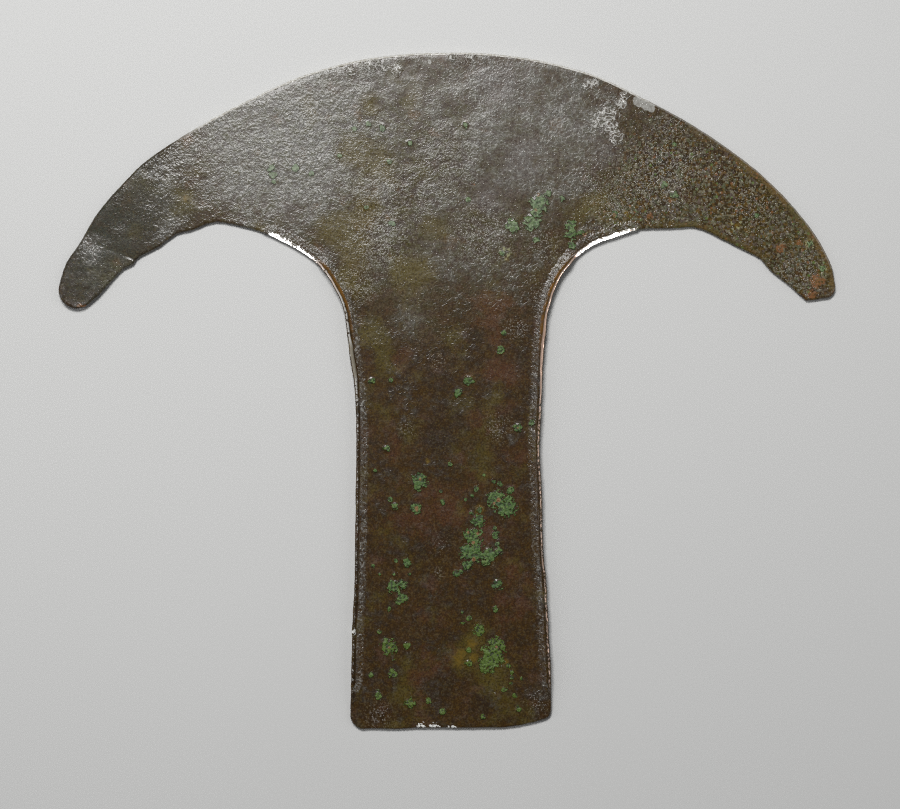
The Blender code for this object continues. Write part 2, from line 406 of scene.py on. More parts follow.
# The left horn's crease: the end past it is bent up, behind a step with a dip before it. The step
# is faint but for its last quarter, next to the bay.
horn_end_x = -0.050
crease_bend = math.radians(2.0)
crease_step = 0.00006
crease_dip = 0.00003
crease_width = 0.00034
crease_fade = 0.002
crease_faint = 0.1
crease_strong_from = 0.725
crease_strong_over = 0.25
along, past = past_crease(points)
on_horn_end = points[:, 0] < horn_end_x
points[:, 2] += np.where(on_horn_end, np.clip(past, 0, None) * math.tan(crease_bend), 0)
crease_profile = crease_step * ease(past / crease_width + 0.5)
crease_profile *= np.exp(-np.clip(past, 0, None) / crease_fade)
crease_profile -= crease_dip * np.exp(-(((past + crease_width) / crease_width) ** 2))
crease_strong = ease((along - crease_strong_from) / crease_strong_over)
crease_profile *= crease_strong * (1 - crease_faint) + crease_faint
points[:, 2] += np.where(on_horn_end & on_face, crease_profile, 0)
sheet.data.vertices.foreach_set("co", points.ravel())
sheet.data.update()

# Where each relief is pressed in: how far from the edge, or between which levels.
face_margin = 0.0012
bevel_margin = 0.001
back_margin = 0.001
edge_margin = 0.0015
edge_foot = 0.0002
crest_from = 0.0013
crest_full = 0.0020
silvery_lift = 0.7  # the silvery crusts are thinner than the green ones
crust_from = 0.15
crust_full = 0.55
off_bevel = 1 - bevelled * (from_edge < bevel_margin)
on_open_face = np.where(on_face, ease(from_edge / face_margin) * off_bevel, 0)
mask("face", on_open_face)
mask("pitted", on_open_face * (1 - smoothed_by * spots_glow(points, smooth_mm)))
mask("edge", np.where(height > edge_foot, 1 - ease(from_edge / edge_margin), 0))
mask("crest", ease((height - crest_from) / (crest_full - crest_from)))
mask("back", np.where(on_back, ease(from_edge / back_margin), 0))
malachite = spots_field(points, malachite_mm, crust_reach) * on_face
silvery_lumps = spots_field(points, silvery_mm, crust_reach) * on_face
lumps = np.maximum(malachite, silvery_lumps * silvery_lift)
mask("crust", ease((lumps - crust_from) / (crust_full - crust_from)))

press("hammer_marks", 0.0140, 0.00016, "face", detail=0)
press("hammer_dimples", 0.0050, 0.00010, "face", detail=1)
press("burial_pits", 0.0014, 0.00008, "pitted", detail=2)
press("crest_waves", 0.0021, -0.00034, "crest", middle=0.15, detail=1)
press("crest_sway_x", 0.0026, 0.00022, "crest", direction="X", detail=1)
press("crest_sway_y", 0.0024, 0.00022, "crest", direction="Y", detail=1)
press("edge_wear_x", 0.0016, 0.00012, "edge", direction="X", detail=1)
press("edge_wear_y", 0.0017, 0.00012, "edge", direction="Y", detail=1)
press("back_hammering", 0.0080, 0.00012, "back", middle=0.4, detail=2)
press("crust_lumps", 0.0009, 0.00026, "crust", middle=0.10, detail=1)

points = points_of(sheet)
for axis in range(3):
    points[:, axis] = np.clip(points[:, axis], solid_low[axis], solid_high[axis])
sheet.data.vertices.foreach_set("co", points.ravel())
sheet.data.update()
bpy.ops.object.shade_smooth()


# Patina. Old copper under a dark brown skin that is olive in places, reddish in the middle of
# the shank, and a grainy grey over the blade, with green, orange and silvery crusts. The grey and
# the paler skin over the blade are in part painted sheen, and pale lines and specks paint
# highlights and glints on the edges and the grain.
def keep(name, values):
    """Stores one value for each corner, for the material to read."""
    layer = sheet.data.attributes.new(name, "FLOAT", "POINT")
    layer.data.foreach_set("value", np.asarray(values, np.float32))


# Each spot is a place on the face in millimetres, a radius and a strength. The left horn is
# slate dark, and the skin is thin and pale over the blade; it is paler there also as painted
# light, the blade lit more than the shank.
slate_mm = [(-63, 32, 8, 0.9), (-66, 22, 8, 0.9), (-55, 34, 7, 0.7), (-56, 42, 6, 0.6), (-64, 27, 6, 0.5)]
thin_and_lit_mm = [
    (-36, 45, 15, 0.8), (-18, 46, 18, 0.75), (4, 46, 18, 0.5), (24, 48, 14, 0.45), (-10, 27, 9, 0.6),
    (8, 27, 10, 0.45), (44, 38, 12, 0.25), (64, 26, 9, 0.35), (-61.5, 23.0, 2.4, 0.8),
    (-63.4, 20.6, 2, 0.6), (-5.5, 13.5, 4, 0.4),
]
# A grey film lies on the skin. It is strongest on the upper left of the blade, where it also
# paints the sheen the crown box throws back there.
grey_and_sheen_mm = [
    (-39, 44, 10, 0.80), (-28, 50, 14, 0.90), (-26, 40, 12, 0.70), (-8, 46, 11, 0.05), (-12, 58, 7, 0.4),
    (4, 57, 10, 0.32), (5, 44, 12, 0.35), (20, 55, 11, 0.62), (28, 46, 8, 0.35), (18, 42, 10, 0.4),
    (0, 26, 9, 0.30), (-14, 27, 5, 0.40), (14, 23, 6, 0.25), (-66.5, 25.6, 3.2, 0.45),
    (-52.5, 30, 3.5, 0.35), (-67.5, 21.0, 4, 0.3), (-52.5, 35.0, 3, 0.35), (-52.5, 39, 3.5, 0.3),
    (-62, 30, 3, 0.12), (-6.5, 13.5, 2.6, 0.45), (40, 37, 4, 0.25), (66, 22, 5, 0.25), (48, 42, 7, 0.1),
]
# The surface is corroded to a grain that glints, and in some places it is bare of grain and film.
grainy_mm = [
    (-67, 26.4, 2.6, 0.55), (-62, 30, 2.8, 0.30), (-66, 21, 4, 0.25), (-53, 30, 3.4, 0.5),
    (-53, 39, 3.6, 0.45), (-61, 36.4, 2.4, 0.4), (-56, 34, 3, 0.3), (-48, 45, 4, 0.3), (-55, 44.5, 3, 0.2),
    (-40, 43, 13, 0.75), (-24, 47, 13, 0.72), (-12.4, 28.2, 4.4, 1.0), (-12, 37, 4, 0.6), (-3, 42, 8, 0.55),
    (-27, 27, 4, 0.6), (30, 32, 4, 0.4), (-22, 36, 8, 0.5), (8, 28, 5, 0.5), (14, 22, 5, 0.4),
    (0, 15, 9, 0.2), (5, 56, 6, 0.2), (20, 48, 12, 0.25), (-18, 20, 4, 0.5), (28, 39, 4, 0.4),
    (40, 40, 10, 0.3), (-12.3, -60.6, 2.2, 0.7), (17.2, -58.0, 2.4, 0.5),
]
bare_mm = [
    (-58.2, 37.2, 3.0, 0.8), (-57.8, 30.5, 2.7, 0.8), (-63.8, 34.0, 2.2, 0.6), (-48.7, 35.9, 1.9, 0.9),
    (-46.5, 41.0, 2.4, 0.5), (-67.0, 20.0, 2.4, 0.7), (-61.5, 26.2, 1.8, 0.8), (-60.8, 21.8, 2.4, 0.8),
    (-19.5, 45.4, 2.6, 0.8), (-14.5, 42.8, 3.0, 0.8), (-7.5, 45.0, 2.6, 0.8), (-7.0, 52.0, 3.2, 0.7),
    (-12.8, 54.2, 1.4, 0.7), (-29.0, 34.2, 1.7, 0.6), (-20.0, 31.5, 3.0, 0.8), (-14.5, 33.4, 2.4, 0.8),
    (-23.0, 27.8, 2.4, 0.7), (-7.0, 32.5, 2.2, 0.7), (-2.5, 31.0, 2.6, 0.6), (-8.0, 26.0, 2.8, 0.9),
    (6.0, 32.8, 2.4, 0.7), (14.0, 34.8, 2.0, 0.5), (13.0, 26.6, 2.4, 0.6), (28.0, 35.6, 3.0, 0.7),
    (36.5, 49.6, 2.8, 0.8), (33.0, 45.4, 3.0, 0.8), (12.0, 57.0, 2.2, 0.5), (30.0, 42.0, 3.0, 0.5),
    (1.0, 51.4, 2.0, 0.4),
]
# Stains in the skin: olive, russet and dark.
olive_mm = [
    (66, 28, 12, 0.85), (52, 34, 12, 0.7), (40, 34, 10, 0.5), (28, 34, 8, 0.4), (-8, 24, 4, 0.6),
    (-58, 37, 4, 0.5), (-57.8, 30, 3.4, 0.45), (-48.8, 35.5, 3, 0.6), (-69, 20, 3, 0.25),
    (-15.1, 18.7, 3, 0.7), (-13.4, 11.2, 3.5, 0.7), (-11.8, 5.4, 3, 0.6), (1.5, 10.8, 3, 0.7),
    (-8.4, -4.1, 3.5, 0.6), (2.8, -2.5, 2, 0.5), (-6.7, -7.9, 3, 0.5), (5.3, -10.8, 4, 0.6),
    (-9, -17, 4, 0.3), (-9, -28, 4, 0.4), (-10.5, -46, 5, 0.3), (4.0, -49, 4.5, 0.8), (8.0, -54, 4, 0.7),
    (-7, -56, 5, 0.5), (11, -60, 4, 0.5),
]
russet_mm = [
    (9.4, 11.6, 3.5, 0.6), (10.2, 4.1, 4, 0.7), (-8.9, 5.4, 2.4, 0.5), (9, 17, 4, 0.5), (7, -6.6, 3, 0.5),
    (-2.6, -23.2, 4, 0.8), (-9.2, -10.8, 2.4, 0.6), (7.4, -26.1, 2.2, 0.8), (12.5, -12, 3, 0.4),
    (-12, -24, 4, 0.3), (-1, -20, 9, 0.3), (-5, -41, 4, 0.5), (-4, -53, 5, 0.4), (11, -42, 4, 0.4),
    (-15, 33, 3, 0.6), (50, 38, 9, 0.4), (68, 20, 4, 0.7), (12, -34, 4, 0.4),
]
dark_mm = [
    (5.2, 10.5, 2.2, 0.7), (13.5, 6.6, 2.8, 0.6), (-1.4, 1.7, 3.5, 0.6), (1.5, -4.1, 3, 0.6),
    (-1.7, -8.9, 4, 0.8), (13.5, -5, 2.4, 0.5), (-0.5, -26.5, 2.2, 0.7), (-5.0, -30.3, 2.6, 0.6),
    (12.8, -29, 3, 0.6), (0.9, -46.0, 1.2, 0.7), (-0.9, -55.3, 3, 0.8), (6.5, -59.0, 2.6, 0.8),
    (-13, -18, 3, 0.4), (-13, -36, 3, 0.4),
]
# The right horn is speckled with grains and flecks of many colours.
speckled_mm = [(55, 36, 15, 1.0), (40, 41, 9, 0.9), (68, 22, 8, 0.9), (36, 34, 5, 0.7), (30, 31, 4, 0.5)]
# Small spots with sharp edges: each is a place and a radius.
rust_mm = [
    (69.0, 20.5, 1.5), (68.2, 17.9, 0.95), (65.8, 27.8, 0.75), (62.3, 26.6, 1.0), (41.6, 35.5, 0.5),
    (37.9, 32.8, 0.7), (31.0, 32.8, 0.5), (34.2, 34.5, 0.35), (5.1, 38.6, 0.4), (38.9, 36.2, 0.25),
    (17.0, 36.6, 0.45), (16.6, 33.8, 0.3), (25.7, 29.1, 0.4), (-68.1, 15.7, 0.8), (-5.0, -16.4, 0.35),
    (-5.7, -22.0, 0.45), (9.6, -20.3, 0.4), (8.8, -21.0, 0.35), (4.0, -26.4, 0.35), (5.7, -26.6, 0.35),
    (4.9, -28.3, 0.35), (5.0, -31.4, 0.4), (-18.0, -44.6, 0.3), (29.6, 58.0, 0.4), (42.3, 45.7, 0.3),
    (38.8, 43.7, 0.4), (58.4, 37.3, 0.4), (9.2, -47.8, 0.3), (-10.8, -47.9, 0.3), (13.2, -6.8, 0.3),
]
ochre_mm = [
    (2.0, -50.4, 1.0), (2.6, -49.2, 0.9), (4.6, -47.2, 0.9), (5.0, -49.8, 0.7), (10.9, -50.4, 0.5),
    (6.0, -22.3, 0.8), (54.0, 30.9, 0.5), (-3.6, -13.1, 0.4), (11.2, 24.6, 0.4), (67.5, 27.6, 0.7),
    (-48.8, 36.0, 0.5), (38.9, 36.2, 0.3), (4.3, 2.2, 0.7), (-6.9, -58.1, 0.5), (33.6, 33.2, 0.5),
]
pale_mm = [
    (35.5, 54.2, 0.75), (36.3, 53.8, 0.9), (37.2, 53.3, 0.9), (38.1, 52.8, 0.7), (-3.2, 61.4, 0.35),
    (10.5, 25.9, 0.25),
]
# White specks, and small white marks along the foot's edge that paint the glints it throws back.
white_and_glint_mm = [
    (-5.3, -62.3, 0.30), (-4.5, -62.4, 0.36), (-3.0, -62.4, 0.30), (-2.2, -62.3, 0.36), (-1.7, -62.5, 0.22),
    (0.3, -62.6, 0.22), (1.0, -62.6, 0.28), (1.6, -62.7, 0.18), (-17.4, -44.8, 0.36), (13.8, -30.7, 0.15),
    (-46.3, 40.1, 0.16), (41.5, 30.8, 0.2), (9.0, -56.3, 0.12),
]
straw_mm = [
    (67.6, 27.4, 0.75), (70.2, 22.8, 0.65), (53.1, 31.3, 0.35), (54.3, 30.4, 0.35), (53.4, 30.1, 0.3),
    (54.8, 31.4, 0.3), (10.1, 26.1, 0.4), (10.7, 26.6, 0.4), (11.5, 26.3, 0.38), (11.6, 25.5, 0.35),
    (11.1, 24.8, 0.42), (23.2, 27.7, 0.3), (26.3, 29.5, 0.3),
]
# Stains on the blade, gold and mauve, and fine white grain that lies on it in places; the grain
# also paints clusters of glints there.
gold_mm = [
    (-17.2, 45.2, 3.2, 0.9), (-12.0, 42.5, 3.4, 0.9), (-14.7, 53.6, 2.6, 0.7), (-7.0, 54.0, 2.4, 0.6),
    (-2.6, 31.0, 2.6, 0.6), (-15.3, 33.4, 3.2, 1.0), (-18.8, 20.7, 2.2, 0.9), (-6.3, 23.0, 4.0, 0.9),
    (27.1, 35.3, 2.4, 0.9), (16.6, 22.2, 3.0, 0.5), (-25.4, 53.4, 2.6, 0.5), (-48.4, 36.4, 1.5, 0.6),
    (-21.5, 31.0, 3.4, 0.8), (-17.5, 26.5, 4.0, 0.7), (-46.5, 40.0, 2.0, 0.4), (-35.0, 30.5, 3.0, 0.5),
    (70.0, 22.0, 4.0, 0.6), (54.5, 30.0, 3.0, 0.6),
]
mauve_mm = [
    (9.9, 56.9, 4.5, 0.8), (14, 43.1, 5, 0.8), (7.6, 36.6, 4, 0.8), (30, 43.9, 4, 0.7),
    (-28.9, 33.5, 2.4, 0.7),
]
frosty_glint_mm = [
    (-12.5, 28.4, 4.2, 0.9), (6.3, 29.9, 4.0, 0.7), (-14.4, 37.5, 3.4, 0.5), (-6.2, 35.1, 2.4, 0.6),
    (0.4, 43.4, 4.0, 0.5), (-1.6, 5.4, 1.6, 0.3), (-7.6, -7.3, 1.8, 0.3), (9.5, -6.9, 2.2, 0.5),
    (-1.0, -28.8, 1.4, 0.4), (-1.6, -34.0, 0.9, 0.5), (12.7, 11.7, 1.8, 0.7), (17.6, 17.0, 1.8, 0.8),
    (-16.0, 19.5, 2.5, 0.7), (-12.6, -60.6, 2.2, 0.6), (17.0, -58.2, 2.2, 0.5), (30.5, 37.0, 3.5, 0.5),
    (42.0, 49.2, 1.8, 0.8), (40.0, 40.5, 6.0, 0.5), (57.0, 34.0, 4.0, 0.4), (66.0, 22.0, 4.0, 0.5),
    (18.5, 27.0, 2.6, 0.6),
]
# The right horn's rim is smooth here.
smooth_rim_mm = [
    (55.6, 42.2, 5, 1.0), (60.0, 38.5, 5, 1.0), (64.0, 34.7, 5, 1.0), (67.5, 30.5, 5, 1.0),
    (70.5, 25.0, 4, 1.0), (71.5, 20.5, 3, 0.8), (45.3, 30.8, 4, 1.0), (50.9, 28.2, 4, 1.0),
    (56.0, 25.6, 3, 0.9), (48.0, 47.5, 4, 0.5),
]
# The flange's crest carries a painted highlight here, pinkish white over rubbed copper, its
# bright line is as broad as a ribbon here, and its inner wall is rusty here.
lit_crest_mm = [
    (-23.4, 23.6, 1.8, 1.0), (-21.6, 20.4, 2.2, 1.0), (22.4, 23.0, 2.6, 1.0), (19.2, 16.0, 5.0, 0.8),
    (18.0, 7.0, 5.0, 0.6),
]
ribbon_mm = [(-17.6, 5.5, 5.5, 1.0), (18.2, 8.0, 8, 0.9), (-20.5, 18, 6, 0.6), (21, 20, 6, 0.6)]
rusty_wall_mm = [
    (-22.6, 21.8, 2.5, 0.9), (-20.0, 18.0, 4, 1.0), (-18.6, 13.0, 3, 0.6), (20.5, 19.0, 5, 1.0),
    (18.5, 12.0, 4, 0.7),
]
soft_stains = {
    "thin_and_lit": thin_and_lit_mm, "grainy": grainy_mm, "slate": slate_mm, "bare": bare_mm, "olive": olive_mm,
    "gold": gold_mm, "mauve": mauve_mm, "frosty_glint": frosty_glint_mm, "smooth_rim": smooth_rim_mm,
    "lit_crest": lit_crest_mm, "russet": russet_mm, "dark": dark_mm, "speckled": speckled_mm,
    "ribbon": ribbon_mm, "rusty_wall": rusty_wall_mm,
}
for name, spots_mm in soft_stains.items():
    keep(name, spots_glow(points, spots_mm))
gold_hides_grey = 0.45
film_there = (1 - spots_glow(points, bare_mm)) * (1 - gold_hides_grey * spots_glow(points, gold_mm))
keep("grey_and_sheen", spots_glow(points, grey_and_sheen_mm) * film_there)

spot_reach = 1.7  # a sharp spot dies away at this share of its radius
ochre_reach = 1.9
sharp_spots = {
    "rust": rust_mm, "pale": pale_mm, "white_and_glint": white_and_glint_mm, "straw": straw_mm, "silvery": silvery_mm,
}
for name, spots_mm in sharp_spots.items():
    keep(name, spots_field(points, spots_mm, spot_reach) * ~on_back)
keep("ochre", spots_field(points, ochre_mm, ochre_reach) * ~on_back)
small_crust_mm = 0.5
small_crusts_mm = [spot for spot in malachite_mm if spot[2] < small_crust_mm]
keep("malachite", malachite)
keep("small_crust", spots_field(points, small_crusts_mm, crust_reach))

# How far each corner is from the edge and the crest, and where it lies on the sheet.
middle_blend = 0.004
foot_from = 0.034
foot_blend = 0.012
crown_from_x = -0.052
crown_blend = 0.008
crown_faint_x = 0.034
crown_faint_blend = 0.006
crown_faint_by = 0.75
crown_faces_from = 0.15  # how far up the picture the edge has to face to be the crown's
crown_faces_over = 0.25
bevel_painted = 1.38  # the bevel's shine reaches further in than its slope does
# The crown's edge carries a painted highlight where it faces up the picture, toward the crown box.
along_crown = ease((edge_facing_up - crown_faces_from) / crown_faces_over)
along_crown *= ease((points[:, 0] - crown_from_x) / crown_blend)
along_crown *= 1 - crown_faint_by * ease((points[:, 0] - crown_faint_x) / crown_faint_blend)
keep("edge_mm", from_edge * 1000)
keep("crest_mm", from_crest * 1000)
keep("toward_right", ease(points[:, 0] / middle_blend + 0.5))
keep("toward_foot", ease((-points[:, 1] - foot_from) / foot_blend))
keep("along_crown", along_crown)
keep("bevel", bevel_share * np.clip(bevel_painted - from_edge / bevel_reach, 0, 1))

patina = bpy.data.materials.new("patinated_copper")
patina.use_nodes = True
tree = patina.node_tree
shader = tree.nodes["Principled BSDF"]


def node(kind, sockets=(), **settings):
    """Adds a node with its settings. Each socket is given a value, or another node's output."""
    made = tree.nodes.new("ShaderNode" + kind)
    for name, value in settings.items():
        setattr(made, name, value)
    for name, value in dict(sockets).items():
        if isinstance(value, bpy.types.NodeSocket):
            tree.links.new(value, made.inputs[name])
        else:
            made.inputs[name].default_value = value
    return made


place = node("TexCoord").outputs["Object"]


def cloud(size, detail=2.0, roughness=0.5, offset=(0, 0, 0)):
    """A cloudy pattern with features of about that size."""
    moved = node("Mapping", {"Vector": place, "Location": offset}).outputs["Vector"]
    sockets = {"Vector": moved, "Scale": 1 / size, "Detail": detail, "Roughness": roughness}
    return node("TexNoise", sockets).outputs["Fac"]


def cells(size, offset=(0, 0, 0)):
    """A pattern of cells of about that size: how far each place is from its cell's middle, in
    sizes, and two chance values that each cell has to itself."""
    moved = node("Mapping", {"Vector": place, "Location": offset}).outputs["Vector"]
    pattern = node("TexVoronoi", {"Vector": moved, "Scale": 1 / size}).outputs
    chances = node("SeparateColor", {"Color": pattern["Color"]}).outputs
    return pattern["Distance"], chances["Red"], chances["Green"]


def kept(name):
    """A value stored for each corner of the sheet."""
    return node("Attribute", attribute_name=name).outputs["Fac"]


def between(value, low, high, start=0.0, end=1.0):
    """Turns a value from low to high smoothly into one from start to end."""
    sockets = {"Value": value, "From Min": low, "From Max": high, "To Min": start, "To Max": end}
    return node("MapRange", sockets, interpolation_type="SMOOTHSTEP").outputs["Result"]


def sums(operation, first, second):
    """Two values put together."""
    made = node("Math", operation=operation)
    for socket, value in zip(made.inputs, (first, second)):
        if isinstance(value, bpy.types.NodeSocket):
            tree.links.new(value, socket)
        else:
            socket.default_value = value
    return made.outputs[0]


def times(*values):
    """All the values multiplied."""
    product = values[0]
    for value in values[1:]:
        product = sums("MULTIPLY", product, value)
    return product


def plus(first, second):
    """Two values added."""
    return sums("ADD", first, second)


def rest_of(share):
    """What a share leaves over."""
    return sums("SUBTRACT", 1.0, share)


def swing(pattern, amount):
    """A pattern made to swing by that much either side of nothing."""
    return times(sums("SUBTRACT", pattern, 0.5), amount)


def mixed(amount, under, over):
    """One colour laid over another."""
    made = node("Mix", data_type="RGBA")
    for index, value in ((0, amount), (6, under), (7, over)):
        if isinstance(value, bpy.types.NodeSocket):
            tree.links.new(value, made.inputs[index])
        else:
            made.inputs[index].default_value = value if index == 0 else (*value, 1)
    return made.outputs[2]


def ragged(name, pattern, amount, low, high):
    """A stored value cut off between two levels, along an edge that a pattern breaks up."""
    cut = between(plus(kept(name), swing(pattern, amount)), low, high)
    return times(cut, between(kept(name), 0.02, 0.12))


def row_of_colours(value, colours):
    """A colour picked out of a row of them by a value from 0 to 1."""
    made = node("ValToRGB", {"Fac": value})
    row = made.color_ramp
    row.interpolation = "CONSTANT"
    for _ in colours[2:]:
        row.elements.new(1.0)
    for index, colour in enumerate(colours):
        row.elements[index].position = index / len(colours)
        row.elements[index].color = (*colour, 1)
    return made.outputs["Color"]


# The colours of the skin, of what lies on it, of the green crusts, and of the bare metal.
brown = (0.048, 0.0230, 0.0040)
umber = (0.023, 0.0125, 0.0050)
khaki = (0.118, 0.080, 0.022)
sage = (0.105, 0.125, 0.072)
mauve = (0.110, 0.088, 0.085)
rosy_dust = (0.114, 0.078, 0.056)
pale_grain = (0.250, 0.238, 0.170)
stone = (0.150, 0.142, 0.095)
horn_grey = (0.250, 0.225, 0.175)
slate = (0.026, 0.026, 0.019)
cool_grey = (0.054, 0.064, 0.053)
olive = (0.070, 0.053, 0.0070)
russet = (0.074, 0.027, 0.0110)
tan = (0.074, 0.060, 0.050)
light_olive = (0.084, 0.078, 0.024)
amber = (0.132, 0.074, 0.016)
gold_olive = (0.092, 0.074, 0.016)
ash = (0.150, 0.148, 0.135)
bone = (0.42, 0.40, 0.35)
chalk = (0.31, 0.305, 0.28)
silver = (0.62, 0.61, 0.58)
silver_grey = (0.42, 0.41, 0.38)
white_and_glint = (0.82, 0.82, 0.79)
straw = (0.31, 0.31, 0.165)
malachite_dark = (0.022, 0.034, 0.008)
malachite_green = (0.054, 0.118, 0.024)
malachite_teal = (0.036, 0.090, 0.040)
malachite_pale = (0.112, 0.178, 0.045)
malachite_yellow = (0.069, 0.122, 0.009)
malachite_grey = (0.170, 0.218, 0.165)
malachite_shade = (0.100, 0.115, 0.080)
malachite_frost = (0.340, 0.410, 0.290)
cuprite = (0.215, 0.094, 0.036)
ochre = (0.150, 0.094, 0.012)
rust_orange = (0.170, 0.078, 0.014)
gold_stain = (0.098, 0.075, 0.018)
mauve_stain = (0.088, 0.068, 0.060)
copper = (0.60, 0.38, 0.27)
rosy_silver = (0.72, 0.56, 0.48)

# The patterns, from wide patches down to the grain.
patches = cloud(0.0060, 4.0, 0.62)
strays = cloud(0.0040, 4.0, 0.62, offset=(0.31, 0.17, 0.05))
veil = cloud(0.0050, 5.0, 0.65, offset=(0.72, 0.44, 0.02))
mottle = cloud(0.0014, 3.0, 0.6, offset=(0.13, 0.57, 0.01))
blots = cloud(0.0010, 3.0, 0.6, offset=(0.11, 0.27, 0.03))
grain = cloud(0.00048, 2.0, 0.55)
worm_cloud = cloud(0.00105, 1.0, 0.5, offset=(0.6, 0.3, 0.08))
worms = between(times(swing(worm_cloud, 1.0), swing(worm_cloud, 1.0)), 0.005, 0.0)
bead, bead_chance, grain_chance = cells(0.00046)
fleck, fleck_chance, _ = cells(0.00095, offset=(0.4, 0.2, 0))
ring, _, _ = cells(0.00050, offset=(0.2, 0.1, 0))

# The skin: brown, umber, olive and russet in patches, paler where it is thin, which over the
# blade is also painted light.
skin = mixed(between(plus(mottle, swing(veil, 0.8)), 0.30, 0.75), brown, umber)
skin = mixed(kept("slate"), skin, mixed(between(mottle, 0.40, 0.62), slate, umber))
skin = mixed(between(plus(kept("olive"), swing(patches, 2.6)), 0.12, 0.78, 0.0, 0.85), skin, olive)
skin = mixed(between(plus(kept("russet"), swing(strays, 2.6)), 0.10, 0.80, 0.0, 0.85), skin, russet)
skin = mixed(between(plus(kept("dark"), swing(veil, 1.6)), 0.15, 0.80, 0.0, 0.85), skin, umber)
# Over the blade the skin is paler, in part as painted light.
thin_lit_skin = mixed(between(mottle, 0.36, 0.64), tan, light_olive)
thin_lit_skin = mixed(between(plus(kept("russet"), swing(strays, 3.0)), 0.25, 0.60), thin_lit_skin, amber)
skin = mixed(kept("thin_and_lit"), skin, thin_lit_skin)
skin = mixed(between(plus(kept("mauve"), swing(strays, 1.6)), 0.10, 0.80, 0.0, 0.8), skin, mauve_stain)
skin = mixed(between(plus(kept("gold"), swing(patches, 2.0)), 0.10, 0.75, 0.0, 0.85), skin, gold_stain)
smooth_band = between(plus(kept("edge_mm"), plus(swing(mottle, 1.6), swing(strays, 3.0))), 1.35, 0.75)
band = times(smooth_band, kept("smooth_rim"))
skin = mixed(times(kept("slate"), 0.42), skin, cool_grey)
skin = mixed(times(band, 0.75), skin, mixed(between(patches, 0.42, 0.58), gold_olive, amber))

grains = (umber, olive, stone, brown, slate, mauve, amber, sage, umber, pale_grain)
grain_share = times(between(kept("speckled"), 0.0, 1.0, 0.08, 0.62), rest_of(band))
skin = mixed(grain_share, skin, row_of_colours(grain_chance, grains))

dust = cloud(0.00034, 2.0, 0.6, offset=(0.5, 0.9, 0.07))
rough_skin = plus(kept("speckled"), kept("thin_and_lit"))
skin = mixed(between(dust, 0.50, 0.64, 0.0, 0.66), skin, umber)
light_dust = times(between(dust, 0.48, 0.32), between(rough_skin, 0.0, 1.0, 0.36, 0.56))
warm_dust = mixed(between(mottle, 0.48, 0.60), khaki, rosy_dust)
skin = mixed(light_dust, skin, mixed(kept("thin_and_lit"), warm_dust, ash))

# The grey film over the blade, in part painted sheen, and on the flange's inner slope a painted
# highlight where the slope catches the light.
film_and_sheen = between(plus(kept("grey_and_sheen"), plus(swing(veil, 1.6), swing(mottle, 0.9))), 0.05, 1.0)
# A painted highlight on the flange's inner slope, where it catches the light, fainter on the right.
slope_top = plus(kept("crest_mm"), times(kept("rusty_wall"), -0.25))
slope_foot = plus(kept("crest_mm"), plus(swing(mottle, 1.6), swing(veil, 1.6)))
slope_band = times(between(slope_top, 0.40, 0.60), between(slope_foot, 1.95, 1.30))
highlight_fainter_right = between(kept("toward_right"), 0.0, 1.0, 0.90, 0.50)
slope_highlight = times(slope_band, between(grain, 0.34, 0.62), highlight_fainter_right)
film_and_sheen = sums("MAXIMUM", film_and_sheen, times(slope_highlight, between(veil, 0.36, 0.60, 0.4, 1.1)))
# Ash and bone on the worms' ridges: grey patina, and painted glints where the ridges catch the light.
skin = mixed(times(film_and_sheen, between(worms, 0.1, 0.8, 0.38, 0.82)), skin, ash)
skin = mixed(times(film_and_sheen, between(worms, 0.3, 1.0), between(grain, 0.46, 0.62), 0.40), skin, bone)

# Pale frost in clusters, partly painted glints, with a little relief of its own.
frost_and_glint = times(kept("frosty_glint"), between(dust, 0.45, 0.38), between(grain, 0.40, 0.50))
frost_glint_colour = mixed(rough_skin, silver_grey, bone)
skin = mixed(times(frost_and_glint, between(rough_skin, 0.0, 0.5, 0.55, 0.85)), skin, frost_glint_colour)

# Flecks of orange, brown and green, pale beads that also paint the glints on the grains, and
# the larger spots of rust, ochre and grey.
flecked = times(kept("speckled"), between(fleck, 0.34, 0.20))
amber_flecks = times(between(fleck_chance, 0.60, 0.64), between(fleck_chance, 0.84, 0.80))
umber_flecks = times(between(fleck_chance, 0.20, 0.24), between(fleck_chance, 0.48, 0.44))
skin = mixed(times(flecked, between(fleck_chance, 0.84, 0.88), 0.7), skin, cuprite)
skin = mixed(times(flecked, amber_flecks, 0.5), skin, amber)
skin = mixed(times(flecked, umber_flecks, 0.7), skin, umber)
skin = mixed(times(flecked, between(fleck_chance, 0.14, 0.10), 0.7), skin, malachite_pale)
bead_share = between(plus(bead_chance, swing(veil, 2.0)), 0.25, 0.75)
beads = times(between(bead, 0.34, 0.16), bead_share)
pale_specks_and_glints = times(beads, kept("speckled"), rest_of(band))
# Pale beads on the right horn, also painted glints on its grains.
skin = mixed(times(pale_specks_and_glints, 0.45), skin, bone)
rusty = ragged("rust", blots, 1.6, 0.40, 0.65)
skin = mixed(times(rusty, between(grain, 0.32, 0.56), 0.80), skin, cuprite)
ochred = ragged("ochre", blots, 1.4, 0.05, 0.95)
skin = mixed(times(ochred, between(grain, 0.35, 0.60, 0.40, 0.85)), skin, ochre)
silvery = ragged("silvery", blots, 1.8, 0.15, 0.40)
skin = mixed(times(silvery, between(worms, 0.1, 0.9, 0.10, 0.95)), skin, silver_grey)
pale = ragged("pale", blots, 0.8, 0.28, 0.42)
skin = mixed(times(pale, between(grain, 0.35, 0.60, 0.65, 1.0)), skin, chalk)
skin = mixed(times(ragged("straw", grain, 2.8, 0.40, 0.70), 0.65), skin, straw)
